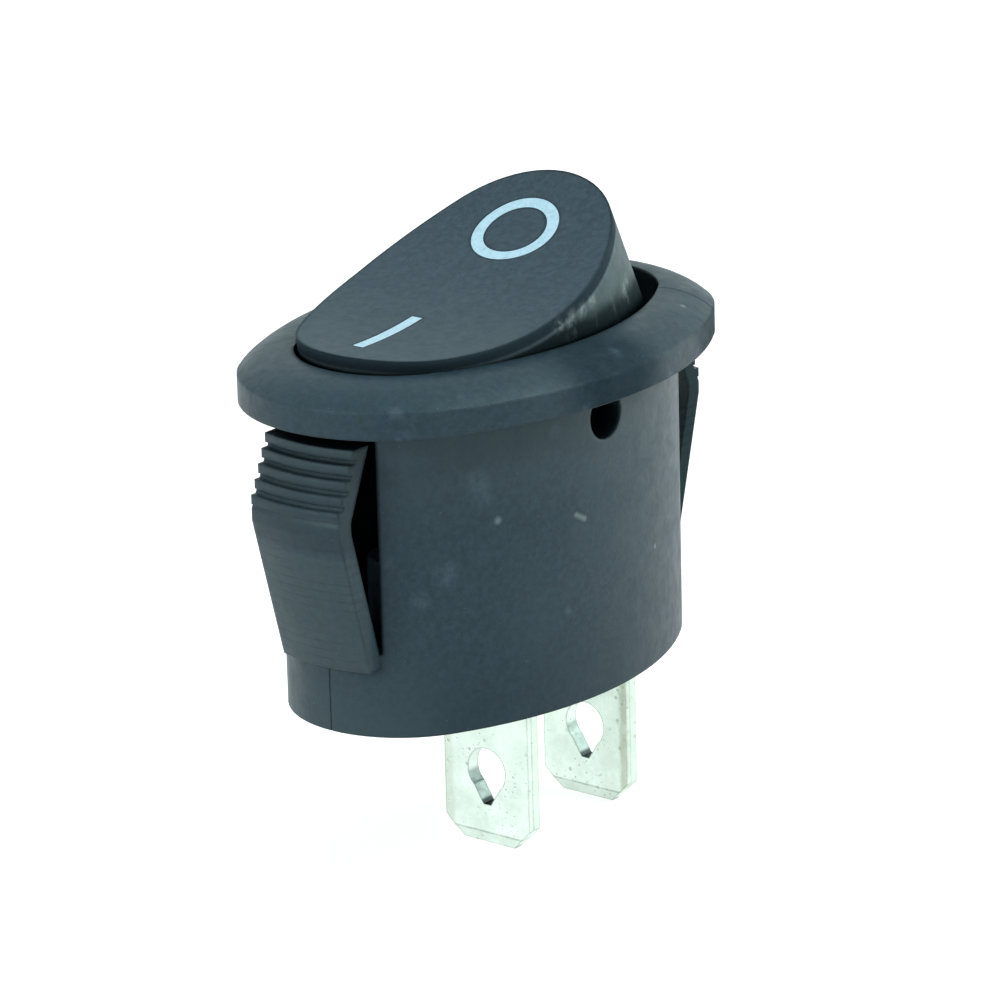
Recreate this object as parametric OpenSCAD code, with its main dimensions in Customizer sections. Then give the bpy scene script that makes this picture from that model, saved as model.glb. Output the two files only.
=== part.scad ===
// Oval snap-in panel rocker switch, single pole, two blade terminals.
// Millimetres. Z = 0 is the panel face, under the bezel; +Z points out of the panel.
// X is the long axis: -X is the "I" end (pressed, switch on), +X the "O" end.

/* [Housing] */
// Length of the body below the panel
body_long = 21; // [18:0.1:26]
// Width of the body below the panel
body_wide = 13.2; // [11:0.1:16]
// Radius of the two round ends of the body
body_end_radius = 5.1; // [4:0.1:6.5]
// Depth of the body below the panel
body_depth = 13.3; // [12:0.1:18]
// Wall thickness of the body
wall = 0.78; // [0.6:0.01:1]
// Thickness of the floor
floor_thick = 1.5; // [1:0.1:2.5]

/* [Bezel] */
// How far the bezel overhangs the body
flange_margin = 1.6; // [1:0.05:3]
// Height of the upright outer edge of the bezel
flange_edge = 1.15; // [0.6:0.05:2]
// Height of the lip round the rocker opening
lip_height = 2.05; // [1.4:0.05:3]
// Radius of the domed bezel section
dome_radius = 3.4; // [2:0.1:8]

/* [Latches] */
// Width of each latch arm
latch_wide = 4.65; // [3:0.05:6]
// How far the widest part of an arm stands out from the body end
latch_reach = 2.15; // [1:0.05:3]
// How far the foot of an arm stands out from the body end
latch_foot = 0.55; // [0.3:0.05:1]
// Depth of the widest part below the panel
latch_knee = 4.05; // [3:0.05:6]
// Depth of the foot of the arm below the panel
latch_length = 10.3; // [8:0.1:12]
// Thickness of an arm
latch_thick = 0.72; // [0.5:0.01:1]
// Number of panel steps on an arm
step_count = 5; // [3:1:7]
// Depth of the groove between steps
step_groove = 0.16; // [0.05:0.01:0.3]
// Crown radius of the arm's outer face
latch_crown = 8.4; // [6:0.1:20]

/* [Rocker] */
// Room between each end of the rocker face and the body wall, for the swing of the ends
end_room = 1.72; // [1.6:0.02:2.4]
// Gap between each side of the rocker and the body wall
side_gap = 0.34; // [0.2:0.02:0.6]
// Radius of the ends of the rocker face
rim_end_radius = 4.65; // [3.5:0.05:5.4]
// Radius of the hollow in the face
dish_radius = 22.6; // [18:0.1:40]
// Height of the middle of the face over the pivot
face_height = 4.77; // [4:0.01:7]
// Outward lean of the end walls
end_lean = 10; // [4:0.5:14]
// Tilt of the rocker to each side
throw = 15.7; // [10:0.1:18]
// Depth of the pivot below the panel
pivot_depth = 1.2; // [0.8:0.05:2]
// Radius of the pivot pins
pin_radius = 1; // [0.7:0.05:1.4]
// Wall thickness of the rocker
shell = 1.1; // [0.8:0.05:1.5]

/* [Marks] */
// Outer radius of the O mark
ring_radius = 1.94; // [1:0.02:2.5]
// Line width of both marks
stroke = 0.53; // [0.3:0.01:0.8]
// Length of the I mark
bar_long = 3.84; // [2:0.02:5]
// Distance of the middle of each mark from the end of the face
mark_edge = 3.52; // [2.6:0.02:5]
// Sideways offset of both marks
mark_side = 0.25; // [-0.5:0.01:0.5]

/* [Contacts] */
// Width of a blade terminal
tab_wide = 4.8; // [2.8:0.1:6.3]
// Thickness of a blade terminal
tab_thick = 0.7; // [0.5:0.05:1]
// Length of a terminal below the body
tab_out = 8.3; // [6:0.1:10]
// Distance between the two terminals
tab_pitch = 7; // [6:0.1:8]
// Radius of the round part of the terminal eye
eye_radius = 1.02; // [0.6:0.02:1.4]
// Tilt of the contact blade to each side
seesaw = 8; // [5:0.5:10]
// Radius of the plunger tip
tip_radius = 0.9; // [0.6:0.05:1.2]
// Reach of the tip centre below the pivot
tip_reach = 4.4; // [3.8:0.1:5]

/* [Hidden] */
$fn = 120;
e = 0.01;              // overshoot of cutting shapes
hair = 0.004;          // how far the side arcs of an oval lie inside the tangent arcs
run_clear = 0.05;      // radial clearance of pins and plunger
ride_clear = 0.03;     // clearance between parts that ride on each other
seat_clear = 0.03;     // clearance of terminals in their slots

// four-arc oval: centre, side radius and turning angle
function side_r(a, b, r) = (a * a + b * b - 2 * a * r) / (2 * (b - r));
function turn(a, b, r) = atan((side_r(a, b, r) - b) / (a - r));

plunger_radius = 1.2;
ba = body_long / 2;
bb = body_wide / 2;
br = body_end_radius;
ra = ba - wall - end_room;
rb = bb - wall - side_gap;
mark_place = ra - mark_edge;
pivot_z = -pivot_depth;
rise = dish_radius - sqrt(dish_radius * dish_radius - ra * ra);
lean_top = face_height + rise;
roof = 1.2;
skirt_z = -0.5;
hub_half = rb - 0.63;
pin_reach = 0.65;      // how far the pivot pins stand out of the hub
hub_radius = 1.9;
socket_radius = 2.3;
boss_radius = 2.1;
boss_low = -3;
bore_radius = plunger_radius + run_clear;
bore_top = face_height - roof - 0.45;
pin_end = hub_half + pin_reach;
pin_hole = pin_radius + run_clear;

floor_top = floor_thick - body_depth;
tab_tip = -body_depth - tab_out;
tab_chamfer = 1.05;
coin_high = 0.5;
coin_deep = 0.13;
eye_z = tab_tip + 3.33;
eye_drop = 1.55;

// contact blade geometry, in the frame of its own hinge
blade_thick = 0.5;
crown = tab_thick / 2;
under = crown + ride_clear;
tip_lift = under + blade_thick + tip_radius + ride_clear;
hinge_z = pivot_z - tip_reach - tip_lift;
tip_x = tip_reach * sin(throw);
tip_z = tip_lift + tip_reach * (1 - cos(throw));
path_x = tip_x * cos(seesaw) - tip_z * sin(seesaw);
path_z = tip_x * sin(seesaw) + tip_z * cos(seesaw) - tip_lift;
trough_in = (path_x * path_x + path_z * path_z) / (2 * path_z) + tip_radius + ride_clear;
trough_out = trough_in + blade_thick;
trough_z = under + trough_out;
trough_half = 1.5;
arm_z = trough_z - sqrt(trough_out * trough_out - trough_half * trough_half);
blade_half = 2.1;
blade_reach = 7;
contact_x = 6;
contact_radius = 1.3;
head_high = 0.6;
shank_radius = 0.7;
rivet_lip = 0.25;
arm_level = hinge_z - trough_half * sin(seesaw) + arm_z * cos(seesaw);
fixed_high = 0.5;
fixed_top = arm_level - head_high - ride_clear;
shelf_top = fixed_top - fixed_high;
shelf_in = 4.5;
bend_out = tab_thick + 0.3;
post_x = -contact_x;
post_radius = 1.2;
shoulder_half = tab_wide / 2 + 0.4;
shoulder_high = 1.5;
horn_in = 1.65;
horn_half = 2.35;
horn_high = 1.2;
root = 0.5;            // how far an upright reaches down into the tab below it

plunger_top = -0.6;
spring_wire = 0.32;
spring_radius = 0.88;
spring_turns = 5;
inlay = 0.15;

// one sector of a solid oval block: radii rin to rad, from angle a0 through da, z0 to z1
module pie(rad, a0, da, z0, z1, rin = 0) {
    rotate([0, 0, a0]) rotate_extrude(angle = da)
        translate([rin, z0]) square([rad - rin, z1 - z0]);
}

// one of the three pieces that make the +X half of an upright oval block: the end disc
// and the two side sectors, which run "over" degrees past the middle of the side
module oval_piece(i, a, b, r, z0, z1, over) {
    sr = side_r(a, b, r);
    t = turn(a, b, r);
    rin = max(0, sr - b - 1);
    if (i == 0) translate([a - r, 0, z0]) cylinder(r = r, h = z1 - z0);
    else mirror([0, i - 1, 0]) translate([0, -(sr - b), 0])
        pie(sr - hair, t, 90 - t + over, z0, z1, rin);
}

// whole upright oval block, trimmed level at both ends
module oval_block(a, b, r, z0, z1) {
    t = turn(a, b, r);
    intersection() {
        union() {
            for (m = [0, 1]) mirror([m, 0, 0]) oval_piece(0, a, b, r, z0 - 1, z1 + 1, 0);
            for (i = [1, 2]) oval_piece(i, a, b, r, z0 - 1, z1 + 1, 90 - t);
        }
        translate([-a - 1, -b - 1, z0]) cube([2 * a + 2, 2 * b + 2, z1 - z0]);
    }
}

// block whose round ends lean out downwards while its sides stay upright, under the
// rocker's hollow face or "skin" below it
module leaning_block(a, b, r, low, skin) {
    h = lean_top - low + 3;
    difference() {
        union() {
            for (m = [0, 1]) mirror([m, 0, 0]) translate([0, 0, lean_top]) rotate([0, -end_lean, 0])
                for (i = [0:2]) oval_piece(i, a * cos(end_lean), b, r, -h, 0, 3);
            translate([0, b - 2 * hair, lean_top]) rotate([90, 0, 0]) linear_extrude(2 * b - 4 * hair)
                polygon([[0, 0], [h * sin(end_lean), -h * cos(end_lean)],
                    [-h * sin(end_lean), -h * cos(end_lean)]]);
        }
        face_cutter(skin);
    }
}

// rocker frame: origin on the pivot, tilted into the on position
module in_rocker() {
    translate([0, 0, pivot_z]) rotate([0, -throw, 0]) children();
}

// blade frame: origin on the fulcrum, tilted into the on position
module in_blade() {
    translate([0, 0, hinge_z]) rotate([0, seesaw, 0]) children();
}

// ---- housing ----

// section of the domed bezel with its upright outer edge, "low" inside its true line;
// x = 0 is the body's outer face, and the section runs on inwards past the wall
module bezel_section(low) {
    dx = flange_margin + wall;
    dz = lip_height - flange_edge;
    chord = sqrt(dx * dx + dz * dz);
    drop = sqrt(dome_radius * dome_radius - chord * chord / 4);
    cx = (flange_margin - wall) / 2 - drop * dz / chord;
    cz = (flange_edge + lip_height) / 2 - drop * dx / chord;
    intersection() {
        translate([-wall - 0.3, 0]) square([dx + 0.3 - low, lip_height + 1]);
        translate([cx - low, cz - low]) circle(dome_radius);
    }
}

// bezel ring: the two end sectors run a little way over the two side sectors
module bezel() {
    sr = side_r(ba, bb, br);
    t = turn(ba, bb, br);
    lap = 1.5;
    for (k = [0, 180]) rotate([0, 0, k]) {
        translate([ba - br, 0, 0]) rotate([0, 0, -t - lap]) rotate_extrude(angle = 2 * t + 2 * lap)
            translate([br, 0]) bezel_section(0);
        translate([0, -(sr - bb), 0]) rotate([0, 0, t]) rotate_extrude(angle = 180 - 2 * t)
            translate([sr, 0]) bezel_section(2 * hair);
    }
}

// side profile of one latch arm, x measured outwards from the body's centre
module latch_profile() {
    foot = ba + latch_foot;
    knee = ba + latch_reach;
    slope = (knee - foot) / (latch_length - latch_knee);
    low = latch_length - 0.6;
    pitch = 0.6;
    shift = 0.24;
    groove_high = 0.2;
    top_z = -latch_knee + 0.5 + step_count * pitch;
    polygon([[foot, -latch_length], [knee, -latch_knee], [knee, -latch_knee + 0.5],
        [knee - step_count * shift - step_groove, top_z],
        [knee - step_count * shift - latch_thick, top_z],
        [knee - latch_thick, -latch_knee + 0.5],
        [knee - latch_thick, -latch_knee],
        [foot - latch_thick + slope * (latch_length - low), -low],
        [ba - wall / 2, -low], [ba - wall / 2, -latch_length]]);
    // steps that grip the panel edge, each with a groove below it
    for (k = [0:step_count - 1])
        translate([knee - (k + 1) * shift - 0.3, -latch_knee + 0.5 + k * pitch + groove_high])
            square([0.3 + shift, pitch - groove_high]);
}

module latch() {
    intersection() {
        translate([ba + latch_reach - latch_crown, 0, 0]) rotate([0, 0, -22])
            rotate_extrude(angle = 44) translate([latch_crown - ba - latch_reach, 0])
                latch_profile();
        translate([ba - 2, -latch_wide / 2, -latch_length - 1])
            cube([6, latch_wide, latch_length + 2]);
    }
}

module terminal_slot(x) {
    translate([x - tab_thick / 2 - seat_clear, -tab_wide / 2 - seat_clear, -body_depth - 1])
        cube([tab_thick + 2 * seat_clear, tab_wide + 2 * seat_clear, floor_thick + 2]);
}

// oval tub with its bezel, and a window in each end behind the latch arm
module tub() {
    difference() {
        union() {
            oval_block(ba, bb, br, -body_depth, flange_edge / 2);
            bezel();
        }
        oval_block(ba - wall, bb - wall, br - wall, floor_top, lip_height + 3);
        for (m = [0, 1]) mirror([m, 0, 0])
            translate([ba - wall - 1, -latch_wide / 2 - 0.02, -latch_length + 0.6])
                cube([wall + 2, latch_wide + 0.04, latch_length - 0.6 - 0.35]);
    }
}

module housing() color([0.16, 0.18, 0.2]) {
    difference() {
        union() {
            tub();
            // sockets that carry the pivot pins
            for (s = [-1, 1]) translate([0, s * (bb - 0.3), pivot_z]) rotate([s * 90, 0, 0])
                cylinder(r = socket_radius, h = bb - 0.3 - hub_half - 0.15);
            for (m = [0, 1]) mirror([m, 0, 0]) stop_ribs();
            translate([post_x, 0, floor_top - 0.3])
                cylinder(r = post_radius, h = arm_level - ride_clear - floor_top + 0.3);
            for (m = [0, 1]) mirror([m, 0, 0]) latch();
        }
        // pivot holes right through the side walls
        translate([0, 0, pivot_z]) rotate([90, 0, 0])
            cylinder(r = pin_hole, h = body_wide + 2, center = true);
        terminal_slot(0);
        terminal_slot(tab_pitch);
        // fine parting line down the middle of each end
        for (s = [-1, 1]) translate([s * ba, 0, -body_depth + (body_depth - latch_length) / 2 - e])
            cube([0.06, 0.1, body_depth - latch_length], center = true);
    }
}

// ribs that stop the rocker's skirt at the end of its throw
module stop_ribs() {
    y_in = 2.8;
    y_out = 3.6;
    c = ra - rim_end_radius + (lean_top - skirt_z) * tan(end_lean);
    far = c + sqrt(rim_end_radius * rim_end_radius - y_in * y_in);
    top = pivot_z - far * sin(throw) + skirt_z * cos(throw) - ride_clear;
    wall_x = ba - br + sqrt((br - wall / 2) * (br - wall / 2) - y_out * y_out);
    for (s = [-1, 1]) translate([6.6, s > 0 ? y_in : -y_out, floor_top - 0.3])
        cube([wall_x - 6.6, y_out - y_in, top - floor_top + 0.3]);
}

// ---- rocker ----

module face_cutter(extra) {
    translate([0, 0, face_height + dish_radius]) rotate([90, 0, 0])
        cylinder(r = dish_radius + extra, h = 40, center = true, $fn = 360);
}

module rocker_body() {
    difference() {
        intersection() {
            leaning_block(ra, rb, rim_end_radius, skirt_z, 0);
            translate([-ba - 4, -bb - 3, skirt_z])
                cube([2 * ba + 8, 2 * bb + 6, lean_top - skirt_z + 3]);
        }
        leaning_block(ra - shell, rb - shell, rim_end_radius - shell, skirt_z, roof);
        // side notches that clear the housing sockets
        for (s = [-1, 1]) translate([0, s * hub_half, 0]) rotate([-s * 90, 0, 0])
            cylinder(r = socket_radius + 0.3, h = 3);
    }
}

module ring_2d() {
    translate([mark_place, mark_side]) difference() {
        circle(ring_radius);
        circle(ring_radius - stroke);
    }
}

module bar_2d() {
    translate([-mark_place - bar_long / 2, mark_side - stroke / 2]) square([bar_long, stroke]);
}

// skin of the face, as deep as the inlaid marks
module face_skin() {
    difference() {
        translate([-ba, -bb, 0]) cube([2 * ba, 2 * bb, lean_top + 1]);
        face_cutter(0);
        difference() {
            translate([-ba - 1, -bb - 1, -1]) cube([2 * ba + 2, 2 * bb + 2, lean_top + 3]);
            face_cutter(inlay);
        }
    }
}

module rocker() color([0.2, 0.23, 0.25]) in_rocker() difference() {
    union() {
        rocker_body();
        rotate([90, 0, 0]) cylinder(r = hub_radius, h = 2 * hub_half, center = true);
        rotate([90, 0, 0]) cylinder(r = pin_radius, h = 2 * pin_end, center = true);
        translate([0, 0, boss_low]) cylinder(r = boss_radius, h = bore_top + 0.45 + 0.6 - boss_low);
    }
    translate([0, 0, boss_low - 1]) cylinder(r = bore_radius, h = bore_top - boss_low + 1);
    intersection() {
        face_skin();
        linear_extrude(lean_top + 1) { ring_2d(); bar_2d(); }
    }
}

module off_mark() color([0.75, 0.88, 0.92]) in_rocker() intersection() {
    face_skin();
    linear_extrude(lean_top + 1) ring_2d();
}

module on_mark() color([0.75, 0.88, 0.92]) in_rocker() intersection() {
    face_skin();
    linear_extrude(lean_top + 1) bar_2d();
}

// ---- plunger ----

module plunger() color([0.85, 0.84, 0.8]) in_rocker() difference() {
    union() {
        translate([0, 0, -tip_reach]) sphere(r = tip_radius);
        translate([0, 0, -tip_reach]) cylinder(r = tip_radius, h = tip_reach + boss_low - 0.2 + 0.1);
        translate([0, 0, boss_low - 0.2]) cylinder(r = plunger_radius, h = plunger_top - boss_low + 0.2);
    }
    // seat for the spring
    translate([0, 0, plunger_top - 0.8]) cylinder(r = spring_radius - spring_wire / 2 + 0.36, h = 2);
}

// closed-wound compression spring between the plunger and the end of its bore
module plunger_spring() color([0.75, 0.76, 0.78]) in_rocker() {
    low = plunger_top - 0.8 + spring_wire / 2;
    high = bore_top - spring_wire / 2;
    n = 12;
    steps = spring_turns * n;
    for (i = [0:steps - 1]) hull() for (j = [i, i + 1])
        translate([spring_radius * cos(j * 360 / n), spring_radius * sin(j * 360 / n),
            low + (high - low) * j / steps])
            rotate([90, 0, j * 360 / n]) cylinder(r = spring_wire / 2, h = 0.01, center = true, $fn = 8);
}

// ---- contacts ----

module contact_blade() color([0.82, 0.62, 0.34]) in_blade() difference() {
    rotate([90, 0, 0]) {
        // trough that the plunger tip rides in
        translate([0, 0, -blade_half]) linear_extrude(2 * blade_half) intersection() {
            translate([0, trough_z]) difference() {
                circle(trough_out);
                circle(trough_in);
            }
            translate([-trough_half, 0]) square([2 * trough_half, trough_z - trough_in / 2]);
        }
        // the two arms, each folded up from the edge of the trough
        for (m = [0, 1]) mirror([m, 0, 0]) translate([trough_half, arm_z, -blade_half])
            rotate([0, 0, seesaw]) translate([-0.12, 0, 0])
                cube([blade_reach - trough_half + 0.12, blade_thick, 2 * blade_half]);
    }
    for (s = [-1, 1]) translate([-crown - 0.3, s > 0 ? horn_in - 0.15 : -blade_half - 1, -1])
        cube([2 * crown + 0.6, blade_half + 1 - horn_in + 0.15, 3]);
    contact_axis() translate([0, 0, -2]) cylinder(r = shank_radius, h = 5);
}

// axis of the moving contact: the underside of the +X arm, square to the arm
module contact_axis() {
    translate([trough_half, 0, arm_z]) rotate([0, -seesaw, 0])
        translate([contact_x - trough_half * cos(seesaw) - arm_z * sin(seesaw), 0, 0]) children();
}

module moving_contact() color([0.88, 0.88, 0.86]) in_blade() contact_axis() {
    translate([0, 0, -head_high]) cylinder(r = contact_radius, h = head_high);
    cylinder(r = shank_radius, h = blade_thick);
    translate([0, 0, blade_thick]) cylinder(r = shank_radius + rivet_lip, h = rivet_lip);
}

module eye_2d() {
    translate([0, eye_z]) circle(eye_radius);
    polygon([[-eye_radius * 0.97, eye_z - eye_radius * 0.24], [eye_radius * 0.97, eye_z - eye_radius * 0.24],
        [0.2, eye_z - eye_drop], [-0.2, eye_z - eye_drop]]);
}

// blade terminal below the floor, centred on x = 0, with coined edges
module tab() {
    h = tab_half();
    intersection() {
        rotate([90, 0, 90]) linear_extrude(tab_thick + 2, center = true) difference() {
            polygon([[-h, floor_top], [-h, tab_tip + tab_chamfer], [-h + tab_chamfer, tab_tip],
                [h - tab_chamfer, tab_tip], [h, tab_tip + tab_chamfer], [h, floor_top]]);
            eye_2d();
        }
        translate([0, 0, tab_tip - 1]) linear_extrude(floor_top - tab_tip + 2) {
            q = tab_thick / 2;
            polygon([[-q, -h + coin_deep], [-q + coin_deep, -h], [q - coin_deep, -h], [q, -h + coin_deep],
                [q, h - coin_deep], [q - coin_deep, h], [-q + coin_deep, h], [-q, h - coin_deep]]);
        }
        rotate([90, 0, 0]) linear_extrude(2 * h + 2, center = true) {
            q = tab_thick / 2;
            polygon([[-q, floor_top], [-q, tab_tip + coin_high], [-q + coin_deep, tab_tip],
                [q - coin_deep, tab_tip], [q, tab_tip + coin_high], [q, floor_top]]);
        }
    }
}

function tab_half() = tab_wide / 2;

module common_terminal() color([0.86, 0.88, 0.85]) {
    tab();
    // shoulders on the floor, then the neck up to the fulcrum
    translate([-tab_thick / 2, -shoulder_half, floor_top])
        cube([tab_thick, 2 * shoulder_half, shoulder_high]);
    translate([-tab_thick / 2, -horn_half, floor_top - root])
        cube([tab_thick, 2 * horn_half, hinge_z - floor_top + root]);
    rotate([90, 0, 0]) linear_extrude(2 * horn_in, center = true)
        translate([0, hinge_z]) circle(crown);
    // horns that keep the blade in place
    for (s = [-1, 1]) translate([-tab_thick / 2, s > 0 ? horn_in : -horn_half, hinge_z - 1])
        cube([tab_thick, horn_half - horn_in, horn_high + 1]);
}

module end_terminal() color([0.86, 0.88, 0.85]) difference() {
    union() {
        translate([tab_pitch, 0, 0]) {
            tab();
            translate([-tab_thick / 2, -shoulder_half, floor_top])
                cube([tab_thick, 2 * shoulder_half, shoulder_high]);
        }
        // upright and shelf, folded over a rounded bend
        rotate([90, 0, 0]) linear_extrude(2 * horn_half, center = true) {
            x1 = tab_pitch + tab_thick / 2;
            translate([x1 - tab_thick, floor_top - root])
                square([tab_thick, shelf_top - bend_out - floor_top + root]);
            translate([shelf_in, shelf_top - tab_thick]) square([x1 - bend_out - shelf_in, tab_thick]);
            intersection() {
                translate([x1 - bend_out, shelf_top - bend_out]) difference() {
                    circle(bend_out);
                    circle(bend_out - tab_thick);
                }
                translate([x1 - bend_out, shelf_top - bend_out]) square(bend_out);
            }
        }
    }
    translate([fixed_x(), 0, shelf_top - 2]) cylinder(r = shank_radius, h = 3);
}

function fixed_x() = contact_x;

module fixed_contact() color([0.88, 0.88, 0.86]) translate([fixed_x(), 0, shelf_top]) {
    cylinder(r = contact_radius - 0.15, h = fixed_high);
    // shank riveted flush with the underside of the shelf, beside the bend
    translate([0, 0, -tab_thick]) cylinder(r = shank_radius, h = tab_thick);
}

housing();
rocker();
off_mark();
on_mark();
plunger();
plunger_spring();
contact_blade();
moving_contact();
common_terminal();
end_terminal();
fixed_contact();
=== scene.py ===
import bpy
import bmesh
import math
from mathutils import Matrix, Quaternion, Vector


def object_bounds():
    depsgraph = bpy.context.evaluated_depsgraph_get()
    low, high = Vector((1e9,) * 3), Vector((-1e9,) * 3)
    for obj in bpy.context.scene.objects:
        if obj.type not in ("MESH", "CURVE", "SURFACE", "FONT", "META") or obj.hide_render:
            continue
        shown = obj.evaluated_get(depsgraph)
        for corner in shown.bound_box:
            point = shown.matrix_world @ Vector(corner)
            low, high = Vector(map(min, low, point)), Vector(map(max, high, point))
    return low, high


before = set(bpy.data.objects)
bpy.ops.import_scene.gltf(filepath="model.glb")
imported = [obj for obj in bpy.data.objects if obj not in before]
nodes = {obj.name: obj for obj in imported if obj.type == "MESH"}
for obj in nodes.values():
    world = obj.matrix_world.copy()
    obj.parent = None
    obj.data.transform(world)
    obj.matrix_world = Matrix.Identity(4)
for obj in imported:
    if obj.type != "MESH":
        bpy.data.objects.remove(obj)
cad_lo, cad_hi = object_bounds()
scene = bpy.context.scene
scene.view_settings.view_transform = "Standard"
MM = 0.001


# ---------------------------------------------------------------- places on the part, in millimetres

# end and foot of the housing's body, as in the part's source
BODY_END = 10.5
BODY_FOOT = -13.3
# heights on the latch arms: their ribs, their plain face, and the tool lines across that face
ARM_RIBS = (-4.6, -0.4)
ARM_FACE = (-10.5, -5.2)
ARM_LINES = (-10.2, -4.6)
TOOL_LINE_PITCH = 0.4
# heights of the bezel's upright edge, and how far out the space inside the ends' windows is
BEZEL_EDGE = (0.0, 1.1)
WINDOW_X = (7.8, 10.2)
# where the bezel's end sweep has its centre, and the angle in degrees at which it meets the side sweep
SWEEP_CENTRE = 5.4
SWEEP_TURN = 60.45
# the rocker's frame and hollow face, as in the part's source; the throw is in degrees
PIVOT_Z = -1.2
THROW = 15.7
FACE_HEIGHT = 4.77
DISH_RADIUS = 22.6
# height of the middle of the terminals' eyes, and of the line above their coined foot
EYE_Z = -18.27
COIN_Z = -21.1
# where the bezel is given painted shade beside the rocker: centre and radius, as in the lists below
BEZEL_SHADE_SPOT = [((-1.0, -7.6, 1.0), 4.4)]
# pale specks on the housing, with a short row of them on its front
SPECKS = [((-5.93, -5.45, -4.42), 0.26), ((3.87, -6.1, -8.11), 0.17), ((6.54, -5.8, 1.78), 0.22)]
SPECKS += [((-1.52 - 0.12 * k, -6.52 + 0.01 * k, -5.33 + 0.07 * k), 0.2) for k in range(5)]
# soft smudges on the housing
SMUDGES = [
    ((-8.1, -4.35, -6.3), 0.75), ((-6.7, -5.1, -2.6), 0.8), ((-6.5, -5.2, -3.3), 0.6),
    ((-9.0, -3.7, -7.4), 0.6), ((-9.9, -2.9, -5.7), 0.5), ((-10.5, -4.3, 0.1), 0.5),
    ((-10.66, -4.07, 1.19), 0.5), ((-3.0, -8.0, 0.05), 0.45), ((2.5, -8.0, 0.05), 0.4),
    ((-0.31, -7.35, 1.71), 0.5), ((-2.6, -6.41, -9.1), 0.3), ((-3.1, -6.3, -1.2), 0.45),
]
# chalky scuffs on the rocker's wall
SCUFFS = [
    ((-1.6, -5.47, 2.85), 0.5), ((-0.8, -5.47, 2.95), 0.6), ((0.0, -5.45, 3.1), 0.55),
    ((0.8, -5.4, 3.3), 0.5), ((4.0, -4.6, 2.95), 0.6), ((4.5, -4.4, 3.2), 0.5),
]


# ---------------------------------------------------------------- node helpers

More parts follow.
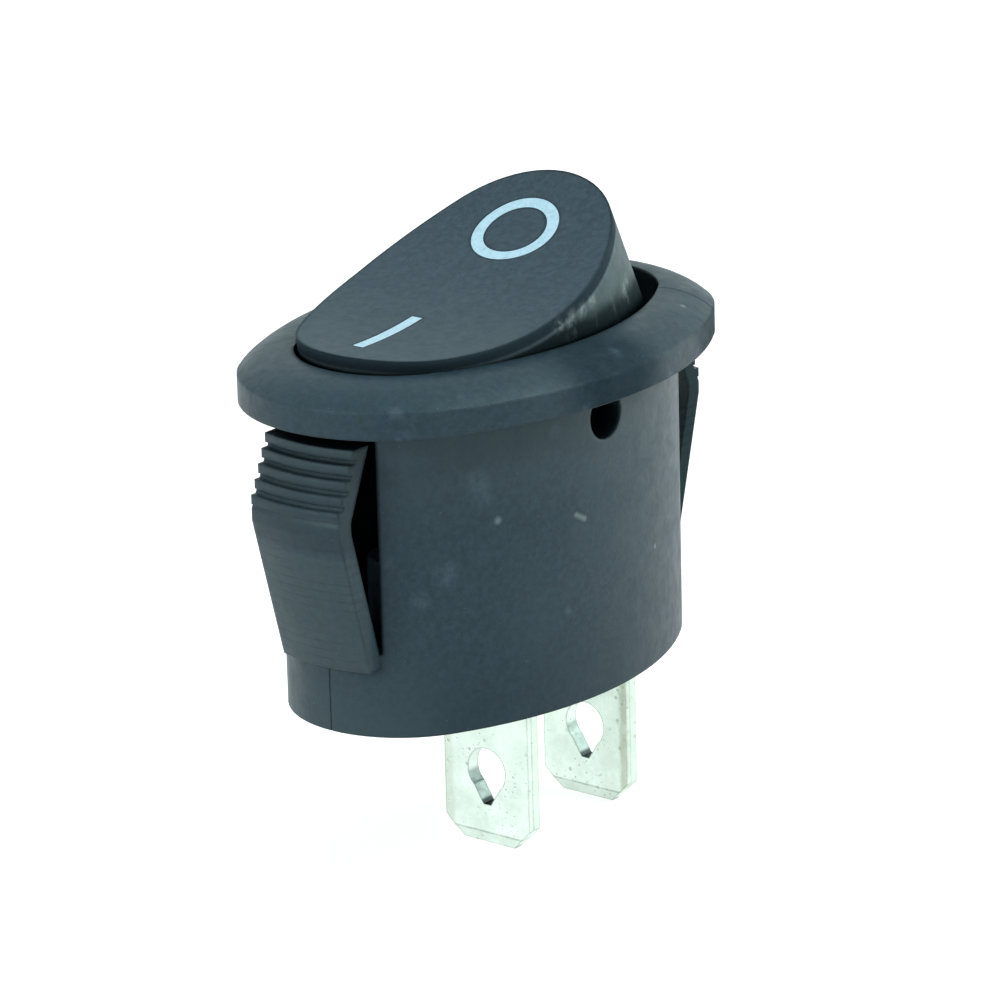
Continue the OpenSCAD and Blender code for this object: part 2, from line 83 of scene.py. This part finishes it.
class Tree:
    """Small helper that builds the nodes of one material, or of the world."""

    def __init__(self, owner, output="ShaderNodeOutputMaterial"):
        self.owner = owner
        owner.use_nodes = True
        self.nt = owner.node_tree
        self.nt.nodes.clear()
        self.out = self.add(output)

    def add(self, kind, **props):
        n = self.nt.nodes.new(kind)
        for k, v in props.items():
            setattr(n, k, v)
        return n

    def put(self, socket, value):
        if isinstance(value, bpy.types.NodeSocket):
            self.nt.links.new(value, socket)
        else:
            socket.default_value = value

    def bsdf(self, tone, **values):
        n = self.add("ShaderNodeBsdfPrincipled")
        self.put(n.inputs["Base Color"], tone)
        for k, v in values.items():
            self.put(n.inputs[k], v)
        self.put(self.out.inputs[0], n.outputs[0])
        return n

    def place(self, scale=(1, 1, 1)):
        """The row frame's coordinates, in millimetres times scale."""
        coord = self.add("ShaderNodeTexCoord")
        n = self.add("ShaderNodeMapping")
        self.put(n.inputs["Vector"], coord.outputs["Object"])
        n.inputs["Scale"].default_value = [s / MM for s in scale]
        return n.outputs[0]

    def noise(self, scale, detail, rough, stretch=(1, 1, 1)):
        n = self.add("ShaderNodeTexNoise")
        self.put(n.inputs["Vector"], self.place(stretch))
        n.inputs["Scale"].default_value = scale
        n.inputs["Detail"].default_value = detail
        n.inputs["Roughness"].default_value = rough
        return n.outputs["Fac"]

    def spots(self, scale, size, keep):
        """Small round spots: at most one in a cell, of about size as a share of the cell.

        Each cell has a random value of its own, and keeps its spot where that is below keep.
        """
        v = self.add("ShaderNodeTexVoronoi")
        self.put(v.inputs["Vector"], self.place())
        v.inputs["Scale"].default_value = scale
        v.inputs["Randomness"].default_value = 0.9
        dot = self.ramp(v.outputs["Distance"], size * 0.6, size, 1, 0)
        sep = self.add("ShaderNodeSeparateColor")
        self.put(sep.inputs[0], v.outputs["Color"])
        return self.times(dot, self.ramp(sep.outputs[0], keep * 0.7, keep, 1, 0))

    def ramp(self, value, a, b, lo=0.0, hi=1.0):
        """Smooth step from lo, where value is a, to hi, where it is b."""
        n = self.add("ShaderNodeMapRange", clamp=True, interpolation_type="SMOOTHSTEP")
        self.put(n.inputs["Value"], value)
        for k, v in (("From Min", a), ("From Max", b), ("To Min", lo), ("To Max", hi)):
            self.put(n.inputs[k], v)
        return n.outputs[0]

    def math(self, op, a, b=0.5):
        n = self.add("ShaderNodeMath", operation=op)
        self.put(n.inputs[0], a)
        self.put(n.inputs[1], b)
        return n.outputs[0]

    def times(self, first, *others):
        """Product of all the values."""
        for other in others:
            first = self.math("MULTIPLY", first, other)
        return first

    def most(self, first, *others):
        """Greatest of the values."""
        for other in others:
            first = self.math("MAXIMUM", first, other)
        return first

    def mix(self, fac, a, b):
        n = self.add("ShaderNodeMix", data_type="RGBA")
        self.put(n.inputs["Factor"], fac)
        for socket, colour in ((6, a), (7, b)):
            self.put(n.inputs[socket], colour if isinstance(colour, bpy.types.NodeSocket) else (*colour, 1))
        return n.outputs[2]

    def shade(self, tone, colour, *shares):
        """The tone, turned towards a colour by the product of the shares."""
        return self.mix(self.times(*shares), tone, colour)

    def axis(self, which):
        """One coordinate of the row frame, in millimetres."""
        n = self.add("ShaderNodeSeparateXYZ")
        self.put(n.inputs[0], self.place())
        return n.outputs["XYZ".index(which)]

    def band(self, value, lo, hi, soft):
        """1 between lo and hi, falling to 0 over soft."""
        return self.times(self.ramp(value, lo - soft, lo), self.ramp(value, hi, hi + soft, 1, 0))

    def bump(self, height, distance, strength, normal=None):
        n = self.add("ShaderNodeBump")
        self.put(n.inputs["Height"], height)
        n.inputs["Distance"].default_value = distance
        n.inputs["Strength"].default_value = strength
        if normal is not None:
            self.put(n.inputs["Normal"], normal)
        return n.outputs[0]

    def soft_edge(self, radius):
        """Normal of the surface with its edges rounded."""
        n = self.add("ShaderNodeBevel", samples=4)
        n.inputs["Radius"].default_value = radius
        return n.outputs[0]

    def normal(self, which="Normal"):
        """Normal of the surface itself: shaded, or the mesh's own with "True Normal"."""
        return self.add("ShaderNodeNewGeometry").outputs[which]

    def edge(self, rounded, sharp=0.85, blunt=0.985):
        """1 on a narrow band along every sharp edge, found from the rounded normal."""
        n = self.add("ShaderNodeVectorMath", operation="DOT_PRODUCT")
        self.put(n.inputs[0], rounded)
        self.put(n.inputs[1], self.normal())
        return self.ramp(n.outputs["Value"], sharp, blunt, 1, 0)

    def open_air(self, distance, normal):
        """1 in the open, falling to 0 in a gap narrower than distance."""
        n = self.add("ShaderNodeAmbientOcclusion", samples=4)
        n.inputs["Distance"].default_value = distance
        self.put(n.inputs["Normal"], normal)
        return n.outputs["AO"]

    def facing(self, which):
        """How far the surface faces along one axis, either way."""
        turn = self.add("ShaderNodeVectorTransform", vector_type="NORMAL")
        turn.convert_from = "WORLD"
        turn.convert_to = "OBJECT"
        self.put(turn.inputs[0], self.normal())
        n = self.add("ShaderNodeSeparateXYZ")
        self.put(n.inputs[0], turn.outputs[0])
        return self.math("ABSOLUTE", n.outputs["XYZ".index(which)])

    def blobs(self, places, core=0.3):
        """1 at each of a few places, given as centre and radius, and 0 away from them."""
        dots = []
        for centre, radius in places:
            n = self.add("ShaderNodeVectorMath", operation="DISTANCE")
            self.put(n.inputs[0], self.place())
            n.inputs[1].default_value = centre
            dots.append(self.ramp(n.outputs["Value"], radius * core, radius, 1, 0))
        return self.most(*dots)

    def looked_at(self):
        """1 for what is seen directly, in a reflection or through something clear, otherwise 0."""
        rays = self.add("ShaderNodeLightPath").outputs
        return self.most(rays["Is Camera Ray"], rays["Is Glossy Ray"], rays["Is Transmission Ray"])


def material(name):
    return Tree(bpy.data.materials.new(name))


# ---------------------------------------------------------------- moulded nylon

# colours of the painted shade in gaps, of the nylon's darkest lines and of the painted shade along rims,
# and of dust
GAP_SHADE = (0.0004, 0.0008, 0.0012)
LINE_TONE_AND_RIM_SHADE = (0.008, 0.018, 0.026)
DUST = (0.24, 0.3, 0.31)


def plastic(t, tone, height, rough, normal, air, shine):
    """Finish of moulded nylon: fine grain, soft edges, and painted shade that darkens its gaps."""
    r = t.math("ADD", t.ramp(t.noise(1.3, 4, 0.6), 0.25, 0.75, -0.05, 0.08), rough)
    # painted shade: the tone turns to the gap colour where air is low, in gaps and hollows
    s = t.bsdf(t.mix(air, GAP_SHADE, tone), Roughness=r, Normal=t.bump(height, 0.02 * MM, 0.45, normal))
    t.put(s.inputs["Specular IOR Level"], t.times(air, shine))
    s.inputs["Specular Tint"].default_value = (0.78, 0.98, 1.0, 1)
    return t.owner


def grain(t, fine, broad, share):
    """Height of the moulded grain: a noise of fine scale, and a share of one of broad scale."""
    return t.math("ADD", t.times(t.noise(fine, 2, 0.6), 0.6), t.times(t.noise(broad, 3, 0.5), share))


def cloudy(t, lo, hi, contrast=1.0):
    """Uneven tone of the filled nylon: broad clouds with a fine even mottle."""
    cloud = t.ramp(t.noise(0.22, 4, 0.6), 0.36, 0.66)
    tone = t.shade(lo, hi, cloud, contrast)
    mottle = t.ramp(t.noise(3.2, 5, 0.75), 0.35, 0.68)
    tone = t.shade(tone, [c * 1.45 for c in hi], mottle, 0.75)
    cool = t.ramp(t.noise(1.5, 4, 0.7), 0.5, 0.7)
    return t.shade(tone, (hi[0] * 1.1, hi[1] * 1.2, hi[2] * 1.5), cool, 0.35)


# ---------------------------------------------------------------- housing

def past_end(t, x, side):
    """1 outside the body's end on one side, 1 or -1, where the latch arm stands."""
    return t.ramp(x, side * (BODY_END - 0.05), side * (BODY_END + 0.2))


def body_tone(t, tone, x, z):
    """The tone with rubbed streaks, painted shade towards the foot, and painted light on one corner of the
    foot, under the flange and down one end.
    """
    streak = t.ramp(t.noise(0.8, 5, 0.7, (1.3, 1.3, 0.3)), 0.6, 0.8)
    tone = t.shade(tone, (0.1, 0.14, 0.16), streak, 0.14)
    # painted shade towards the foot, with painted light on one corner of it
    foot = t.ramp(z, -8.0, BODY_FOOT)
    tone = t.shade(tone, (0.005, 0.016, 0.026), foot, 0.5)
    tone = t.shade(tone, (0.06, 0.09, 0.1), foot, t.ramp(x, -7.5, -9.8), 0.35)
    # painted light under the flange and down the end that faces the light
    tone = t.shade(tone, (0.06, 0.085, 0.1), t.ramp(z, -5.5, -0.5), t.ramp(z, 0.0, -0.1), 0.4)
    return t.shade(tone, (0.12, 0.17, 0.16), t.ramp(x, 8.2, 10.4), t.ramp(z, 0.0, -0.3), 0.4)


def bezel_shade_mask(t, x, z):
    """1 where the bezel gets painted shade: beside the rocker, and on its edge at the "O" end."""
    bezel_shade = t.times(t.blobs(BEZEL_SHADE_SPOT), t.ramp(z, 0.0, 0.05))
    return t.most(bezel_shade, t.times(t.ramp(x, 3.0, 8.0), t.band(z, *BEZEL_EDGE, 0.15)))


def dirt(t, tone):
    """The tone with soft smudges, settled dust and a few larger specks."""
    patchy = t.ramp(t.noise(2.2, 4, 0.7), 0.3, 0.65)
    tone = t.shade(tone, (0.1, 0.145, 0.185), t.blobs(SMUDGES), patchy, 0.28)
    dust = t.times(t.spots(5.0, 0.17, 0.04), 0.2)
    specks = t.times(t.blobs(SPECKS, 0.0), 0.52)
    return t.mix(t.most(dust, specks), tone, DUST)


def tool_lines(t, x, z):
    """Close tool lines across the lower faces of the latch arms, patchy in depth."""
    on_arm = t.ramp(t.math("ABSOLUTE", x), BODY_END + 0.05, BODY_END + 0.3)
    half = TOOL_LINE_PITCH / 2
    line = t.ramp(t.math("PINGPONG", z, half), half / 2, half)
    patchy = t.ramp(t.noise(0.5, 3, 0.6), 0.35, 0.62)
    return t.times(line, on_arm, t.band(z, *ARM_LINES, 0.3), patchy)


def sweep_seam(t, x, z):
    """Bands along the step of a hair where the bezel's end and side sweeps meet: wide, and narrow."""
    lean = math.radians(SWEEP_TURN)
    dx = t.math("SUBTRACT", t.math("ABSOLUTE", x), SWEEP_CENTRE)
    dy = t.math("ABSOLUTE", t.axis("Y"))
    off = t.math("SUBTRACT", t.times(dx, math.sin(lean)), t.times(dy, math.cos(lean)))
    off = t.math("ABSOLUTE", off)
    on_dome = t.times(t.ramp(z, 0.3, 0.5), t.ramp(t.math("ABSOLUTE", x), 11.2, 11.0))
    wide = t.times(t.ramp(off, 0.3, 0.26), on_dome)
    return wide, t.times(wide, t.ramp(off, 0.08, 0.06))


def housing_look():
    t = material("moulded_housing")
    x = t.axis("X")
    z = t.axis("Z")
    tone = cloudy(t, (0.012, 0.024, 0.035), (0.018, 0.033, 0.045))
    tone = body_tone(t, tone, x, z)
    bezel_shade = bezel_shade_mask(t, x, z)
    # painted shade on the bezel beside the rocker and along its edge at the "O" end
    tone = t.shade(tone, (0.003, 0.011, 0.018), bezel_shade, 0.5)
    # painted shade on the sides of the "O" end's arm and on the other arm's ribs
    shaded_arm_sides = t.times(past_end(t, x, 1), t.ramp(z, -0.2, -0.4), t.ramp(t.facing("Y"), 0.5, 0.8))
    shaded_arm_ribs = t.times(past_end(t, x, -1), t.band(z, *ARM_RIBS, 0.3))
    arm_shade = t.most(t.times(shaded_arm_sides, 0.6), t.times(shaded_arm_ribs, 0.35))
    tone = t.mix(arm_shade, tone, (0.003, 0.008, 0.012))
    # painted light on the plain face below those ribs
    tone = t.shade(tone, (0.06, 0.085, 0.09), past_end(t, x, -1), t.band(z, *ARM_FACE, 0.4), 0.3)
    tone = dirt(t, tone)
    # pale wear, in patches, along edges that stand proud
    rounded = t.soft_edge(0.22 * MM)
    patchy = t.ramp(t.noise(1.1, 4, 0.7), 0.4, 0.7)
    tone = t.shade(tone, (0.13, 0.17, 0.18), t.edge(rounded), patchy, 0.22)
    line = tool_lines(t, x, z)
    tone = t.shade(tone, LINE_TONE_AND_RIM_SHADE, line, 0.3)
    height = t.math("SUBTRACT", grain(t, 9.0, 2.0, 0.4), line)
    # no soft edge beside the bezel's seam, and no smooth shading or shadow right at it
    beside, seam = sweep_seam(t, x, z)
    normal = t.mix(beside, rounded, t.normal())
    normal = t.mix(seam, normal, t.normal("True Normal"))
    # painted shade: the windows behind the arms are painted black, other hollows keep some light
    window = t.times(t.band(t.math("ABSOLUTE", x), *WINDOW_X, 0.3), t.ramp(z, -1.0, -2.0))
    open_enough = t.ramp(window, 0.0, 1.0, 0.55, 0.88)
    air = t.ramp(t.open_air(3.0 * MM, normal), 0.15, open_enough, 0.02, 1.0)
    # pale crumbs caught in the painted shade of the opening's raised end
    crumbs = t.times(t.spots(3.2, 0.3, 0.4), t.band(x, 8.4, 10.2, 0.4), t.ramp(z, -1.0, -0.5), 0.8)
    air = t.most(air, seam, crumbs)
    # rougher and less shiny where the arm's sides and the bezel carry painted shade
    dullness = t.most(shaded_arm_sides, t.times(bezel_shade, 0.6))
    rough = t.ramp(dullness, 0.0, 1.0, 0.44, 0.85)
    shine = t.ramp(dullness, 0.0, 1.0, 0.3, 0.04)
    return plastic(t, tone, height, rough, normal, air, shine)


# ---------------------------------------------------------------- rocker

def rocker_frame(t):
    """Place along the rocker in its own frame, and depth below its hollow face."""
    swing = t.add("ShaderNodeVectorRotate", rotation_type="Y_AXIS")
    t.put(swing.inputs["Vector"], t.place())
    swing.inputs["Center"].default_value = (0, 0, PIVOT_Z)
    swing.inputs["Angle"].default_value = math.radians(THROW)
    own = t.add("ShaderNodeSeparateXYZ")
    t.put(own.inputs[0], swing.outputs[0])
    along = own.outputs["X"]
    rise = t.math("SUBTRACT", own.outputs["Z"], PIVOT_Z + FACE_HEIGHT + DISH_RADIUS)
    reach = t.math("SQRT", t.math("ADD", t.times(along, along), t.times(rise, rise)))
    return along, t.math("SUBTRACT", reach, DISH_RADIUS)


def scuffed_wall(t, along, wall):
    """Chalky scuffs on the wall under the raised end: a few placed ones and faint drag marks."""
    drag = t.ramp(t.noise(1.1, 6, 0.75, (1.4, 1.4, 0.6)), 0.5, 0.7, 0.0, 0.3)
    drag = t.times(drag, t.band(along, 0.8, 9.5, 1.5), wall)
    crumbs = t.ramp(t.noise(2.6, 5, 0.8), 0.36, 0.66)
    return t.times(t.most(t.blobs(SCUFFS, 0.0), drag), crumbs)


def rocker_look():
    t = material("moulded_rocker")
    tone = cloudy(t, (0.07, 0.1, 0.128), (0.084, 0.116, 0.144), 0.7)
    # rubbed paler towards the "I" end, with settled dust
    tone = t.shade(tone, (0.14, 0.18, 0.2), t.ramp(t.axis("X"), 2.0, -7.0), 0.4)
    tone = t.shade(tone, (0.24, 0.29, 0.31), t.spots(5.0, 0.2, 0.07), 0.3)
    # painted shade along the rim of the face and along every edge
    along, below = rocker_frame(t)
    rounded = t.soft_edge(0.32 * MM)
    rim = t.most(t.band(below, 0.1, 0.4, 0.25), t.edge(rounded, 0.8))
    tone = t.shade(tone, LINE_TONE_AND_RIM_SHADE, rim, 0.88)
    # the wall is duller than the face, with grime and painted shade where it stands in the opening
    wall = t.ramp(below, 0.45, 0.75)
    tone = t.shade(tone, (0.03, 0.048, 0.038), wall, 0.6)
    low = t.math("ADD", t.axis("Z"), t.times(t.noise(0.8, 4, 0.6), -0.8))
    grime_and_shade = t.times(wall, t.ramp(low, 3.0, 2.0))
    tone = t.shade(tone, (0.005, 0.011, 0.014), grime_and_shade, 0.88)
    tone = t.shade(tone, (0.34, 0.4, 0.4), scuffed_wall(t, along, wall), 0.6)
    height = grain(t, 11.0, 2.4, 0.3)
    # painted shade in the rocker's gaps and hollows, from how open the surface is
    air = t.ramp(t.open_air(4.0 * MM, rounded), 0.35, 0.85, 0.03, 1.0)
    shine = t.ramp(t.most(rim, grime_and_shade), 0.0, 1.0, 0.3, 0.03)
    return plastic(t, tone, height, 0.55, rounded, air, shine)


def ink():
    """Printed marks, worn and speckled."""
    t = material("mark_ink")
    wear = t.ramp(t.noise(4.0, 4, 0.75), 0.3, 0.62)
    tone = t.mix(wear, (0.36, 0.53, 0.65), (0.46, 0.65, 0.77))
    tone = t.shade(tone, (0.12, 0.2, 0.25), t.spots(5.0, 0.22, 0.12), 0.5)
    r = t.ramp(t.noise(3.0, 3, 0.6), 0.3, 0.7, 0.45, 0.6)
    s = t.bsdf(tone, Roughness=r, Normal=t.bump(t.noise(8.0, 2, 0.6), 0.02 * MM, 0.4))
    s.inputs["Specular IOR Level"].default_value = 0.3
    return t.owner


# ---------------------------------------------------------------- metals and the plunger

TIN_GRIME = (0.24, 0.31, 0.26)


def brass_bleed(t, tone):
    """The tone with a brown-green bleed of the brass along one long edge of each tab."""
    outer = t.ramp(t.axis("X"), 3.4, 3.6)
    uneven = t.math("ADD", t.axis("Y"), t.times(t.noise(1.2, 5, 0.8), 0.4))
    right = t.times(t.band(uneven, -2.0, -1.85, 0.25), outer, 0.6)
    left = t.times(t.band(uneven, 2.2, 2.6, 0.3), t.math("SUBTRACT", 1.0, outer), 0.3)
    patchy = t.ramp(t.noise(1.6, 4, 0.75), 0.25, 0.6, 0.3, 1.0)
    return t.shade(tone, (0.34, 0.37, 0.24), t.most(right, left), patchy)


def coined_foot(t, tone, z):
    """The tone with a duller coined foot and a broken dark line above it."""
    tone = t.shade(tone, (0.45, 0.54, 0.47), t.ramp(z, COIN_Z + 0.04, COIN_Z - 0.04), 0.2)
    broken = t.ramp(t.noise(1.3, 5, 0.8), 0.35, 0.6, 0.15, 1.0)
    return t.shade(tone, TIN_GRIME, t.band(z, COIN_Z - 0.02, COIN_Z + 0.02, 0.05), broken, 0.6)


def sheared_walls(t, tone, z):
    """The tone with duller sheared edges, and with painted shade low in the eye, near black at its tip."""
    side = t.math("ABSOLUTE", t.axis("Y"))
    tone = t.shade(tone, (0.5, 0.58, 0.5), t.ramp(t.facing("Y"), 0.6, 0.9), t.ramp(side, 2.2, 2.3), 0.3)
    # painted shade on the eye's inner wall, near black at its tip
    eye = t.times(t.ramp(t.facing("X"), 0.6, 0.3), t.ramp(side, 1.5, 1.3))
    tone = t.shade(tone, (0.24, 0.29, 0.28), eye, t.ramp(z, EYE_Z, EYE_Z - 0.35), 0.86)
    return t.shade(tone, (0.02, 0.03, 0.035), eye, t.ramp(z, EYE_Z - 1.3, EYE_Z - 1.45), 0.9)


def tinned():
    """Dull hot-tinned brass: cloudy plating, draw lines, dark pits and stains."""
    t = material("tinned_brass")
    z = t.axis("Z")
    cloud = t.ramp(t.noise(0.8, 5, 0.65), 0.35, 0.7)
    tone = t.mix(cloud, (0.7, 0.81, 0.73), (0.83, 0.95, 0.87))
    lines = t.ramp(t.noise(1.0, 4, 0.7, (9, 9, 0.5)), 0.5, 0.75)
    tone = t.shade(tone, (0.56, 0.66, 0.57), lines, 0.22)
    # pits gather in patches
    patch = t.ramp(t.noise(0.7, 3, 0.6), 0.4, 0.58)
    pits = t.times(t.most(t.spots(2.0, 0.22, 0.45), t.spots(4.5, 0.28, 0.5)), patch)
    tone = t.shade(tone, (0.3, 0.37, 0.3), pits, 0.6)
    stain = t.ramp(t.noise(1.5, 5, 0.75), 0.58, 0.75)
    tone = t.shade(tone, (0.42, 0.48, 0.36), stain, 0.3)
    tone = brass_bleed(t, tone)
    # patchy grime along the sheared edges
    rounded = t.soft_edge(0.09 * MM)
    patchy = t.ramp(t.noise(3.0, 4, 0.7), 0.2, 0.6, 0.5, 1.0)
    tone = t.shade(tone, TIN_GRIME, t.edge(rounded, 0.975, 0.998), patchy, 0.8)
    tone = coined_foot(t, tone, z)
    tone = sheared_walls(t, tone, z)
    r = t.ramp(t.noise(2.4, 4, 0.6), 0.3, 0.75, 0.34, 0.52)
    waves = t.math("ADD", t.times(t.noise(3.0, 4, 0.6), 0.7), t.times(lines, 0.15))
    height = t.math("SUBTRACT", waves, t.times(pits, 0.8))
    t.bsdf(tone, Roughness=r, Normal=t.bump(height, 0.03 * MM, 0.45, rounded), Metallic=1.0)
    return t.owner


def metal(name, lo, hi, rough, stretch=(1, 1, 1)):
    """Plain metal with a fine noise, drawn out into lines along an axis that stretch makes small."""
    t = material(name)
    tone = t.mix(t.ramp(t.noise(1.5, 4, 0.6), 0.3, 0.7), lo, hi)
    lines = t.noise(2.0, 3, 0.7, stretch)
    r = t.ramp(lines, 0.3, 0.7, rough - 0.06, rough + 0.1)
    normal = t.bump(lines, 0.01 * MM, 0.4, t.soft_edge(0.04 * MM))
    t.bsdf(tone, Roughness=r, Normal=normal, Metallic=1.0)
    return t.owner


def acetal():
    """White plunger plastic that lets a little light in."""
    t = material("white_acetal")
    tone = t.mix(t.ramp(t.noise(1.0, 4, 0.6), 0.3, 0.7), (0.66, 0.64, 0.56), (0.78, 0.76, 0.7))
    r = t.ramp(t.noise(2.0, 3, 0.5), 0.3, 0.7, 0.35, 0.5)
    s = t.bsdf(tone, Roughness=r, Normal=t.bump(t.noise(6.0, 2, 0.5), 0.01 * MM, 0.4))
    s.inputs["Subsurface Weight"].default_value = 0.15
    s.inputs["Subsurface Scale"].default_value = 0.4 * MM
    return t.owner


looks = {
    "housing": housing_look(),
    "rocker": rocker_look(),
    "off_mark": ink(),
    "plunger": acetal(),
    "plunger_spring": metal("spring_wire", (0.42, 0.43, 0.45), (0.56, 0.57, 0.6), 0.28),
    "contact_blade": metal("rolled_brass", (0.7, 0.46, 0.17), (0.8, 0.57, 0.26), 0.3, (6, 0.6, 6)),
    "moving_contact": metal("silver_alloy", (0.74, 0.73, 0.7), (0.86, 0.85, 0.83), 0.3),
    "common_terminal": tinned(),
}
looks["on_mark"] = looks["off_mark"]
looks["end_terminal"] = looks["common_terminal"]
looks["fixed_contact"] = looks["moving_contact"]
for name, obj in nodes.items():
    obj.data.materials.clear()
    obj.data.materials.append(looks[name])


# ---------------------------------------------------------------- floor and world

FLOOR_RADIUS = 1.2
# grey that the floor reflects, and the glow added to it wherever it is looked at
FLOOR_GREY = 0.5
FLOOR_GLOW = 0.75
# strength of the world as a light, where the world that is looked at has strength 1
WORLD_LIGHT = 0.55


def studio_floor():
    bm = bmesh.new()
    bmesh.ops.create_circle(bm, cap_ends=True, radius=FLOOR_RADIUS, segments=96)
    mesh = bpy.data.meshes.new("floor")
    bm.to_mesh(mesh)
    bm.free()
    floor = bpy.data.objects.new("floor", mesh)
    floor.location = (0, 0, cad_lo[2])
    scene.collection.objects.link(floor)
    t = material("studio_floor")
    lit = t.add("ShaderNodeBsdfDiffuse")
    lit.inputs["Color"].default_value = (FLOOR_GREY, FLOOR_GREY, FLOOR_GREY, 1)
    glow = t.add("ShaderNodeEmission")
    glow.inputs["Color"].default_value = (1, 1, 1, 1)
    t.put(glow.inputs["Strength"], t.times(t.looked_at(), FLOOR_GLOW))
    both = t.add("ShaderNodeAddShader")
    t.put(both.inputs[0], lit.outputs[0])
    t.put(both.inputs[1], glow.outputs[0])
    t.put(t.out.inputs[0], both.outputs[0])
    floor.data.materials.append(t.owner)
    return floor


def studio_world():
    """White to the camera and slightly green to the object, which it lights dimly."""
    world = bpy.data.worlds.new("studio")
    scene.world = world
    t = Tree(world, "ShaderNodeOutputWorld")
    camera_ray = t.add("ShaderNodeLightPath").outputs["Is Camera Ray"]
    background = t.add("ShaderNodeBackground")
    t.put(background.inputs["Color"], t.mix(camera_ray, (0.88, 1.0, 0.98), (1, 1, 1)))
    t.put(background.inputs["Strength"], t.ramp(t.looked_at(), 0, 1, WORLD_LIGHT, 1.0))
    t.put(t.out.inputs[0], background.outputs[0])


floor = studio_floor()
studio_world()


# ---------------------------------------------------------------- camera and lamps

# where the camera stands, in angles and metres from the middle of the panel's cut-out
AZIMUTH = math.radians(-51.36)
ELEVATION = math.radians(16.54)
DISTANCE = 0.23375
# how far it is turned from looking straight at that point
PITCH = math.radians(1.4283)
YAW = math.radians(0.1633)
ROLL = math.radians(1.558)
# where the lamps point
LAMP_AIM = Vector((0, 0, -0.005))
# name, place to the right, up and to the front, size, power in watts, and colour
LAMPS = [
    ("key", (0.30, 0.34, 0.06), (0.22, 0.22), 1.5, (0.92, 1.0, 0.97)),
    ("fill", (-0.34, 0.14, 0.26), (0.26, 0.26), 1.0, (0.9, 0.99, 1.0)),
    ("rim", (0.34, 0.06, -0.14), (0.14, 0.3), 0.4, (0.86, 1.0, 0.95)),
]

# level directions towards the camera and to its right, and upwards
front = Vector((math.sin(AZIMUTH), -math.cos(AZIMUTH), 0))
right = Vector((math.cos(AZIMUTH), math.sin(AZIMUTH), 0))
up = Vector((0, 0, 1))


def studio_camera():
    data = bpy.data.cameras.new("camera")
    data.lens = 200
    data.sensor_width = 36
    data.clip_start = 0.01
    data.clip_end = 10
    obj = bpy.data.objects.new("camera", data)
    back = front * math.cos(ELEVATION) + up * math.sin(ELEVATION)
    obj.location = back * DISTANCE
    turn = Quaternion((0, 1, 0), -YAW) @ Quaternion((1, 0, 0), -PITCH) @ Quaternion((0, 0, 1), -ROLL)
    obj.rotation_mode = "QUATERNION"
    obj.rotation_quaternion = (-back).to_track_quat("-Z", "Y") @ turn
    scene.collection.objects.link(obj)
    scene.camera = obj


def lamp(name, place, size, power, colour):
    data = bpy.data.lights.new(name, "AREA")
    data.shape = "RECTANGLE"
    data.size, data.size_y = size
    data.energy = power
    data.color = colour
    obj = bpy.data.objects.new(name, data)
    obj.location = right * place[0] + up * place[1] + front * place[2]
    obj.rotation_mode = "QUATERNION"
    obj.rotation_quaternion = (LAMP_AIM - obj.location).to_track_quat("-Z", "Y")
    scene.collection.objects.link(obj)


studio_camera()
for row in LAMPS:
    lamp(*row)
